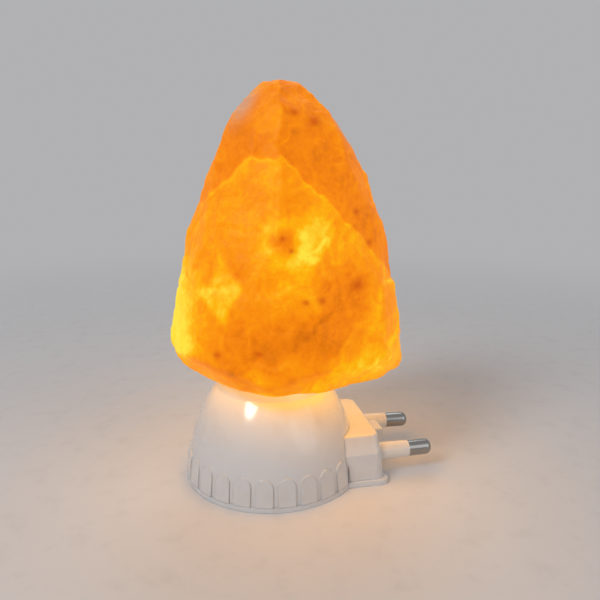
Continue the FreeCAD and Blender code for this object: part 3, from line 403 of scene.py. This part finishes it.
# Rust-red inclusions of the front: across, height and radius
INCLUSIONS = [(8.6, 87.4, 1.7), (3.8, 89.2, 1.1), (16.1, 52.4, 1.6), (20.2, 61.1, 0.9),
              (16.9, 67.9, 0.8), (7.3, 50.1, 0.9), (3.9, 49.8, 0.7), (-6.1, 38.7, 0.9),
              (-14.8, 38.0, 0.8), (-0.5, 63.0, 0.7), (1.2, 60.5, 0.6)]
INCLUSION_SQUASH = 0.8

# Colours of the light that comes out, from thick salt to clear salt
SALT_LIGHT = [(0.0, (0.42, 0.08, 0.0, 1)), (0.22, (0.68, 0.16, 0.0, 1)),
              (0.42, (0.92, 0.23, 0.0, 1)), (0.60, (1.0, 0.32, 0.0, 1)),
              (0.78, (1.0, 0.48, 0.0, 1)), (1.0, (1.0, 0.80, 0.05, 1))]
RUST_LIGHT = (0.56, 0.07, 0.0, 1)
# Painted rim light: the dimmer, greyer glow of the pale rim at both sides of the tip
PAINTED_RIM_GLOW = (0.34, 0.17, 0.09, 1)
LIGHT_ROUND_IT = (1.0, 0.42, 0.0, 1)
SALT_SKIN = (0.10, 0.022, 0.0, 1)
# Painted rim light: the paler skin of the rim at both sides of the tip
PAINTED_RIM_SKIN = (0.42, 0.30, 0.24, 1)
SEEN_LIGHT = 0.92       # strength of the glow as the camera is set
FULL_LIGHT = 3.0        # and as it lights what is round it

# Fine texture of the material: how much each part of it changes the glow, the rust or the gloss
CLOUD_MIX, GRAIN_MIX, VEIN_MIX = 0.55, 0.22, 0.25
VEIN_REACH = 0.10       # share of a crystal's size
INCLUSION_MIX, SPECK_MIX = 0.75, 0.45
SPECK_FROM, SPECK_GAIN = 0.66, 7.0
ROUGHNESS_LOW, ROUGHNESS_GRAIN = 0.34, 0.3
CLOUD_BUMP, GRAIN_BUMP = 0.6, 0.4
BUMP_HEIGHT = 0.35 * MM
SALT_SPECULAR = 0.15

salt_low, salt_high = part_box("salt_crystal")
salt_middle = np.array([(salt_low.x + salt_high.x) / 2, (salt_low.y + salt_high.y) / 2,
                        salt_low.z])


def lattice_noise(points, size, seed):
    """Smooth noise from 0 to 1: random values on a cubic lattice, eased between its corners."""
    count = 64
    values = np.random.default_rng(seed).random((count, count, count))
    place = points / size + count
    cell = np.floor(place).astype(int)
    part = place - cell
    part = part * part * (3 - 2 * part)
    total = np.zeros(points.shape[:-1])
    for corner in np.ndindex(2, 2, 2):
        weight = np.prod([part[..., k] if corner[k] else 1 - part[..., k] for k in range(3)],
                         axis=0)
        index = [(cell[..., k] + corner[k]) % count for k in range(3)]
        total += weight * values[index[0], index[1], index[2]]
    return total


def skin_facets(node):
    """The solid's outer triangles as seen from the crystal's middle. Each is the inverse of its
    three corners' matrix, which turns a direction into the corners' shares."""
    mesh = node.data
    mesh.calc_loop_triangles()
    corners = np.zeros(len(mesh.loop_triangles) * 3, int)
    mesh.loop_triangles.foreach_get("vertices", corners)
    places = np.zeros(len(mesh.vertices) * 3)
    mesh.vertices.foreach_get("co", places)
    triangles = (places.reshape(-1, 3) - salt_middle)[corners.reshape(-1, 3)]
    smallest = 0.001 * MM ** 3
    return np.linalg.inv(triangles[np.linalg.det(triangles) > smallest])


def reach_along(directions, facets):
    """Distance from the crystal's middle to its skin: in the triangle that a direction passes
    through all three shares are positive, and they add up to one over the distance."""
    shares = np.einsum("ij,fjk->ifk", directions, facets)
    total = np.maximum(shares.sum(axis=-1), 1e-6)
    through = (shares.min(axis=-1) / total).argmax(axis=1)
    return 1 / total[np.arange(len(directions)), through]


def soften(reach):
    """Mean with the neighbours round and down, which rounds the edges between flakes."""
    reach = (np.roll(reach, 1, axis=1) + 2 * reach + np.roll(reach, -1, axis=1)) / 4
    inner = (reach[:-2] + 2 * reach[1:-1] + reach[2:]) / 4
    return np.concatenate([reach[:1], inner, reach[-1:]])


def smooth_step(value, low, high):
    """Rise from 0 at low to 1 at high, level at both ends."""
    share = np.clip((value - low) / (high - low), 0, 1)
    return share * share * (3 - 2 * share)


def spot(across, height, at, size, lean=0.0):
    """Soft round or oval mask: 1 at its middle, fading over its size."""
    u, v = across - at[0], height - at[1]
    u, v = u * math.cos(lean) + v * math.sin(lean), v * math.cos(lean) - u * math.sin(lean)
    return np.exp(-((u / size[0]) ** 2 + (v / size[1]) ** 2))


def patch(across, height, corners):
    """Mask of a convex outline: 1 inside, soft at its sides."""
    inside = np.full(across.shape, np.inf)
    for (u, v), (u_next, v_next) in zip(corners, corners[1:] + corners[:1]):
        run, rise = u_next - u, v_next - v
        side = (run * (height - v) - rise * (across - u)) / math.hypot(run, rise)
        inside = np.minimum(inside, side)
    return smooth_step(inside, *PATCH_EDGE)


def ledge_line(across):
    """Height of the ledge across the front: runs between its corners, a little wavy."""
    wave = sum(size * np.sin(across * rate + start) for size, rate, start in LEDGE_WAVES)
    return np.interp(across, LEDGE_ACROSS, LEDGE_HEIGHT) + wave


def chip_relief(skin):
    """Small flat chips, in mm: each point belongs to its nearest chip and rises or falls with
    that chip's own tilt, eased to nothing where two chips meet."""
    maker = np.random.default_rng(11)
    points = skin.reshape(-1, 3) / MM
    middles = points[maker.integers(0, len(points), CHIPS)]
    tilts = maker.normal(0, CHIP_TILT, (CHIPS, 3))
    apart = ((points ** 2).sum(axis=1)[:, None] + (middles ** 2).sum(axis=1)
             - 2 * points @ middles.T)
    order = np.argpartition(apart, 1, axis=1)[:, :2]
    near, far = (np.sqrt(np.clip(np.take_along_axis(apart, order[:, k:k + 1], 1)[:, 0], 0, None))
                 for k in (0, 1))
    slope = np.einsum("ij,ij->i", points - middles[order[:, 0]], tilts[order[:, 0]])
    slope = np.clip(slope, -CHIP_RISE, CHIP_SINK)
    return (slope * np.clip((far - near) / CHIP_EASE, 0, 1)).reshape(skin.shape[:-1])


def skin_relief(skin):
    """How far the skin lies inside the solid's softened faces, in mm: roughness, dents, chips,
    the ledge across the front and the steps up the left edge."""
    x, across, height = (skin[..., k] / MM for k in range(3))
    rough = sum(share * lattice_noise(skin, width * MM, seed)
                for share, width, seed in ROUGH_LAYERS)
    ripple = 1 - np.abs(2 * lattice_noise(skin, DENT_WIDTH * MM, 5) - 1)
    relief = ROUGH_HEIGHT * (rough - 0.5) + DENT_DEPTH * ripple ** 3 - SKIN_LIFT
    relief = relief + chip_relief(skin)
    broken = smooth_step(x, *LEDGE_FRONT) * smooth_step(
        height - ledge_line(across), -LEDGE_SOFT, LEDGE_SOFT)
    broken = broken * (1 - smooth_step(height, *LEDGE_TOP)) * (
        1 - smooth_step(across, *LEDGE_RIGHT))
    stripes = np.sin(across * STRIPE_TURN + STRIPE_SWAY * np.sin(height * SWAY_TURN))
    return (relief + LEDGE_DEPTH * broken
            + STRIPE_DEPTH * stripes * smooth_step(-across, *STRIPES_LEFT))


def salt_skin():
    """Rings from the tip to the sawn edge. A ring's direction leans out from straight up by the
    angle of an oval as tall as the crystal, and its reach is that of the solid's faces, softened
    over the edges, less the relief. The skin stays inside the solid's box."""
    facets = skin_facets(nodes["salt_crystal"])
    lift = np.linspace(np.pi / 2, 0, DOWN)[1:, None]
    tall = salt_high.z - salt_low.z
    wide = (salt_high.y - salt_low.y) / 2
    lean = np.arctan2(wide * np.cos(lift) ** TIP_SPREAD, tall * np.sin(lift))
    turn = np.linspace(0, 2 * np.pi, AROUND, endpoint=False)[None, :]
    directions = np.stack([np.sin(lean) * np.cos(turn), np.sin(lean) * np.sin(turn),
                           np.cos(lean) + 0 * turn], -1)
    reach = np.array([reach_along(row, facets) for row in directions])
    for _ in range(SOFTENING):
        reach = soften(reach)
    skin = salt_middle + directions * reach[..., None]
    skin = skin - directions * (skin_relief(skin) * MM)[..., None]
    return turn, np.clip(skin, np.array(salt_low), np.array(salt_high))


def spread(field):
    """Wide soft mean over a grid of vectors: five passes, each twice as wide as the last."""
    for step in (1, 2, 4, 8, 16):
        field = (np.roll(field, step, axis=1) + 2 * field + np.roll(field, -step, axis=1)) / 4
        padded = np.pad(field, ((step, step), (0, 0), (0, 0)), mode="edge")
        field = (padded[:-2 * step] + 2 * field + padded[2 * step:]) / 4
    return field


def painted_facet_shade(skin):
    """Painted shade and highlight on the facets: how each spot of the skin is turned off its
    surroundings, towards the upper left, as if light fell from there. Flat chips get one even tone
    each, and their edges stay crisp."""
    round_way = np.roll(skin, -1, axis=1) - np.roll(skin, 1, axis=1)
    normals = np.cross(np.gradient(skin, axis=0), round_way)
    normals /= np.maximum(np.linalg.norm(normals, axis=-1), 1e-12)[..., None]
    return (normals - spread(normals)) @ PAINTED_LIGHT_FROM


def salt_glow(points, skin):
    """How brightly each point glows: clouds, painted shade and highlight on the facets, the
    brighter salt below the ledge, clear and thick areas, and the swirl."""
    x, across, height = (points[:, k] / MM for k in range(3))
    front = smooth_step(x, *GLOW_FRONT)
    uneven = PATCHY_LOW + PATCHY_RANGE * lattice_noise(points, PATCHY_WIDTH, 10)
    wobble = WOBBLE * (lattice_noise(points, WOBBLE_WIDTH, 9) - 0.5)
    below = ledge_line(across) - height
    glow = BASE_GLOW + CLOUD_GLOW * (lattice_noise(points, CLOUD_WIDTH, 8) - 0.5)
    # Painted shade and highlight on the facets, by how they turn towards the upper left
    glow[:skin.shape[0] * AROUND] += PAINTED_FACET_SHADE_GAIN * painted_facet_shade(skin).ravel()
    glow += front * (BELOW_LEDGE * smooth_step(below, *BELOW_EDGE) + FRONT_GLOW)
    glow += LEDGE_GLOW * front * (1 - smooth_step(across, *LEDGE_GLOW_RIGHT)) * np.exp(
        -((below - LEDGE_GLOW_DOWN) / LEDGE_GLOW_WIDTH) ** 2)
    counts = {"all": 1.0, "front": front, "patchy": front * uneven, "back": 1 - front}
    for where, gain, at, size, lean in AREAS:
        glow += counts[where] * gain * spot(across, height, at, size, lean)
    for gain, stray, corners in PATCHES:
        glow += front * gain * uneven * patch(
            across + stray * wobble, height - stray * wobble, corners)
    swirl = np.hypot(across - SWIRL_MIDDLE[0] + wobble, height - SWIRL_MIDDLE[1])
    ring, ring_radius, ring_width = SWIRL_RING
    core, core_radius = SWIRL_CORE
    glow += front * uneven * (ring * np.exp(-((swirl - ring_radius) / ring_width) ** 2)
                              - core * np.exp(-(swirl / core_radius) ** 2))
    return glow


def skin_marks(points):
    """How strongly the painted rim light, a pale frosted-looking skin along the tip's outline,
    lies on the skin, and where the skin is rust-red.
    """
    x, across, height = (points[:, k] / MM for k in range(3))
    painted_rim = sum(strength * spot(across, height, at, size, lean)
                for strength, at, size, lean in PAINTED_RIM_SPOTS)
    rust = np.zeros(len(points))
    for across_at, height_at, radius in INCLUSIONS:
        rust = np.maximum(rust, spot(across, height, (across_at, height_at),
                                     (radius, radius * INCLUSION_SQUASH)))
    return painted_rim, smooth_step(x, *GLOW_FRONT) * rust


def make_crystal():
    """Skin, sawn base, bore mouth, bore wall and bore roof, as rings that close on two poles."""
    turn, skin = salt_skin()
    edge = skin[-1:, :, :]

    def circle(radius, height):
        return np.stack([radius * np.cos(turn), radius * np.sin(turn), height + 0 * turn], -1)

    mouth = circle(BORE_RADIUS + BORE_MOUTH, salt_low.z)
    share = np.linspace(0, 1, 7)[1:-1, None, None]
    sawn = edge * (1 - share) + mouth * share
    levels = np.linspace(salt_low.z + BORE_MOUTH, BORE_TOP, 16)
    wall = np.concatenate([circle(BORE_RADIUS, level) for level in levels])
    roof = np.concatenate([circle(BORE_RADIUS * k, BORE_TOP) for k in (0.7, 0.35)])
    outside = np.concatenate([skin, sawn, mouth])
    rings = np.concatenate([outside, wall, roof])
    count = len(rings)
    tip, first_bore_point = count * AROUND, len(outside) * AROUND
    roof_middle = tip + 1
    points = np.vstack([rings.reshape(-1, 3), skin[0].mean(axis=0), [0, 0, BORE_TOP]])
    faces = ring_faces(count, AROUND).tolist()
    column = np.arange(AROUND)
    after = (column + 1) % AROUND
    last = (count - 1) * AROUND
    faces += np.stack([np.full(AROUND, tip), column, after], -1).tolist()
    faces += np.stack([last + column, np.full(AROUND, roof_middle), last + after], -1).tolist()
    piece = put_mesh("rock_salt", points, faces, make_salt_material(), "crystal", "salt",
                     "salt_crystal")

    in_bore = np.zeros(len(points), bool)
    in_bore[first_bore_point:tip] = True
    in_bore[roof_middle] = True
    glow = np.where(in_bore, BORE_GLOW, salt_glow(points, skin))
    # Painted rim light along the tip's outline, and the rust of the inclusions
    painted_rim, rust = skin_marks(points)
    for name, values in (("glow", glow), ("painted_rim", painted_rim), ("rust", rust)):
        field = piece.data.attributes.new(name, "FLOAT", "POINT")
        field.data.foreach_set("value", np.clip(values, 0, 1).astype(np.float32))
    return piece


def make_salt_material():
    """Rock salt lit from inside: the glow, broken up by clouds, veins and specks, picks the
    colour of the light that comes out, and the skin is dull and finely broken."""
    material = bpy.data.materials.new("rock_salt")
    material.use_nodes = True
    tree = material.node_tree
    shader = tree.nodes["Principled BSDF"]
    place = tree.nodes.new("ShaderNodeTexCoord").outputs["Object"]
    fields = {name: add(tree, "ShaderNodeAttribute", attribute_name=name).outputs["Fac"]
              for name in ("glow", "painted_rim", "rust")}
    clouds = add(tree, "ShaderNodeTexNoise", Scale=210.0, Detail=6.0, Roughness=0.62,
                 Distortion=0.8)
    grain = add(tree, "ShaderNodeTexNoise", Scale=1100.0, Detail=5.0, Roughness=0.65)
    crystals = add(tree, "ShaderNodeTexVoronoi", Scale=420.0, feature="DISTANCE_TO_EDGE")
    specks = add(tree, "ShaderNodeTexNoise", Scale=520.0, Detail=3.0, Roughness=0.7)
    for texture in (clouds, grain, crystals, specks):
        join(tree, place, texture.inputs["Vector"])

    # The glow, with clouds and grain about their middle value, less the veins between crystals
    glow = fields["glow"]
    for texture, gain in ((clouds, CLOUD_MIX), (grain, GRAIN_MIX)):
        offset = maths(tree, "SUBTRACT", texture.outputs["Fac"], 0.5)
        glow = maths(tree, "ADD", glow, maths(tree, "MULTIPLY", offset, gain))
    veins = maths(tree, "SUBTRACT", VEIN_REACH, crystals.outputs["Distance"], clamp=True)
    glow = maths(tree, "SUBTRACT", glow, maths(tree, "MULTIPLY", veins, VEIN_MIX), clamp=True)
    ramp = tree.nodes.new("ShaderNodeValToRGB")
    steps = ramp.color_ramp.elements
    while len(steps) < len(SALT_LIGHT):
        steps.new(0.5)
    for step, (at, colour) in zip(steps, SALT_LIGHT):
        step.position = at
        step.color = colour
    join(tree, glow, ramp.inputs["Fac"])

    # Rust shows in the inclusions and in the sparse peaks of the specks
    peaks = maths(tree, "SUBTRACT", specks.outputs["Fac"], SPECK_FROM)
    small = maths(tree, "MULTIPLY", peaks, SPECK_GAIN, clamp=True)
    rust = maths(tree, "ADD", maths(tree, "MULTIPLY", fields["rust"], INCLUSION_MIX),
                 maths(tree, "MULTIPLY", small, SPECK_MIX), clamp=True)
    light = blend_colours(tree, rust, ramp.outputs["Color"], RUST_LIGHT)
    # Painted rim light: at both sides of the tip the glow turns dimmer and greyer and the skin
    # paler
    light = blend_colours(tree, fields["painted_rim"], light, PAINTED_RIM_GLOW)
    skin = blend_colours(tree, fields["painted_rim"], SALT_SKIN, PAINTED_RIM_SKIN)
    join(tree, skin, shader.inputs["Base Color"])

    # The camera is set for the glow, and everything round the salt gets its full light
    camera_ray = tree.nodes.new("ShaderNodeLightPath").outputs["Is Camera Ray"]
    join(tree, blend_colours(tree, camera_ray, LIGHT_ROUND_IT, light),
         shader.inputs["Emission Color"])
    held_back = maths(tree, "MULTIPLY", camera_ray, FULL_LIGHT - SEEN_LIGHT)
    join(tree, maths(tree, "SUBTRACT", FULL_LIGHT, held_back),
         shader.inputs["Emission Strength"])

    shader.inputs["Specular IOR Level"].default_value = SALT_SPECULAR
    rough = maths(tree, "ADD", ROUGHNESS_LOW, maths(tree, "MULTIPLY", grain.outputs["Fac"],
                                                    ROUGHNESS_GRAIN))
    join(tree, rough, shader.inputs["Roughness"])
    bump = add(tree, "ShaderNodeBump", Distance=BUMP_HEIGHT, Strength=0.7)
    height = maths(tree, "ADD", maths(tree, "MULTIPLY", clouds.outputs["Fac"], CLOUD_BUMP),
                   maths(tree, "MULTIPLY", grain.outputs["Fac"], GRAIN_BUMP))
    join(tree, height, bump.inputs["Height"])
    join(tree, bump.outputs["Normal"], shader.inputs["Normal"])
    return material


make_crystal()

# ---------------------------------------------------------------------------------------------
# Studio: pale floor and surround, three soft lamps, and the camera where the photographer
# stood, a hand's breadth from the lamp and a little above its middle.
# ---------------------------------------------------------------------------------------------
CAMERA_PLACE = (0.14410, -0.02123, 0.07876)
CAMERA_DOWN = 12.991        # degrees below level
CAMERA_HEADING = 11.197     # degrees, from the -X direction towards +Y
FLOOR_HALF = 3.0
PALE = (0.74, 0.74, 0.75, 1)
SURROUND = (0.44, 0.44, 0.45, 1)    # as the camera sees it
SURROUND_LIGHT = (0.22, 0.22, 0.23, 1)
BLACK = (0, 0, 0, 1)
FADE_START = 0.10
FADE_END = 0.42
AIM_HEIGHT = 0.045
# Each lamp: name, place, width across its disc, power in watts
LAMPS = [("key_lamp", (0.30, -0.42, 0.48), 0.24, 1.6),
         ("fill_lamp", (0.42, 0.40, 0.30), 0.50, 0.5),
         ("back_lamp", (-0.45, 0.10, 0.52), 0.40, 0.65)]

floor_mesh = bpy.data.meshes.new("floor")
floor_mesh.from_pydata([(-FLOOR_HALF, -FLOOR_HALF, 0), (FLOOR_HALF, -FLOOR_HALF, 0),
                        (FLOOR_HALF, FLOOR_HALF, 0), (-FLOOR_HALF, FLOOR_HALF, 0)], [],
                       [(0, 1, 2, 3)])
floor = bpy.data.objects.new("floor", floor_mesh)
bpy.context.scene.collection.objects.link(floor)


def make_floor_material():
    """Matt pale board that fades into the surround away from the lamp, for the camera only."""
    material = hard_material("pale_floor", PALE, 0.6, rubbed=0.05, Specular_IOR_Level=0.0)
    tree = material.node_tree
    shader = tree.nodes["Principled BSDF"]
    place = tree.nodes.new("ShaderNodeTexCoord").outputs["Object"]
    away = tree.nodes.new("ShaderNodeVectorMath")
    away.operation = "LENGTH"
    join(tree, place, away.inputs[0])
    far = add(tree, "ShaderNodeMapRange", interpolation_type="SMOOTHSTEP")
    far.inputs["From Min"].default_value = FADE_START
    far.inputs["From Max"].default_value = FADE_END
    join(tree, away.outputs["Value"], far.inputs["Value"])
    camera_ray = tree.nodes.new("ShaderNodeLightPath").outputs["Is Camera Ray"]
    share = maths(tree, "MULTIPLY", far.outputs["Result"], camera_ray)
    worn = shader.inputs["Base Color"].links[0].from_socket
    join(tree, blend_colours(tree, share, worn, BLACK), shader.inputs["Base Color"])
    join(tree, blend_colours(tree, share, BLACK, SURROUND), shader.inputs["Emission Color"])
    shader.inputs["Emission Strength"].default_value = 1.0
    return material


floor_mesh.materials.append(make_floor_material())

for name, place, width, watts in LAMPS:
    lamp = bpy.data.lights.new(name, "AREA")
    lamp.shape = "DISK"
    lamp.size = width
    lamp.energy = watts
    stand = bpy.data.objects.new(name, lamp)
    bpy.context.scene.collection.objects.link(stand)
    stand.location = place
    aim = np.array([0, 0, AIM_HEIGHT]) - np.array(place)
    stand.rotation_mode = "QUATERNION"
    stand.rotation_quaternion = Vector(aim).to_track_quat("-Z", "Y")

world = bpy.data.worlds.new("studio")
bpy.context.scene.world = world
world.use_nodes = True
surround = world.node_tree
background = surround.nodes["Background"]
paths = surround.nodes.new("ShaderNodeLightPath")
seen = maths(surround, "MAXIMUM", paths.outputs["Is Camera Ray"], maths(
    surround, "MAXIMUM", paths.outputs["Is Glossy Ray"], paths.outputs["Is Transmission Ray"]))
join(surround, blend_colours(surround, seen, SURROUND_LIGHT, SURROUND),
     background.inputs["Color"])

camera = bpy.data.objects.new("camera", bpy.data.cameras.new("camera"))
bpy.context.scene.collection.objects.link(camera)
camera.data.lens = 36.0
camera.data.sensor_width = 36.0
camera.data.clip_start = 0.005
camera.location = CAMERA_PLACE
heading, down = math.radians(CAMERA_HEADING), math.radians(CAMERA_DOWN)
forward = Vector((-math.cos(heading) * math.cos(down), math.sin(heading) * math.cos(down),
                     -math.sin(down)))
camera.rotation_mode = "QUATERNION"
camera.rotation_quaternion = forward.to_track_quat("-Z", "Y")
bpy.context.scene.camera = camera
bpy.context.scene.view_settings.view_transform = "Standard"
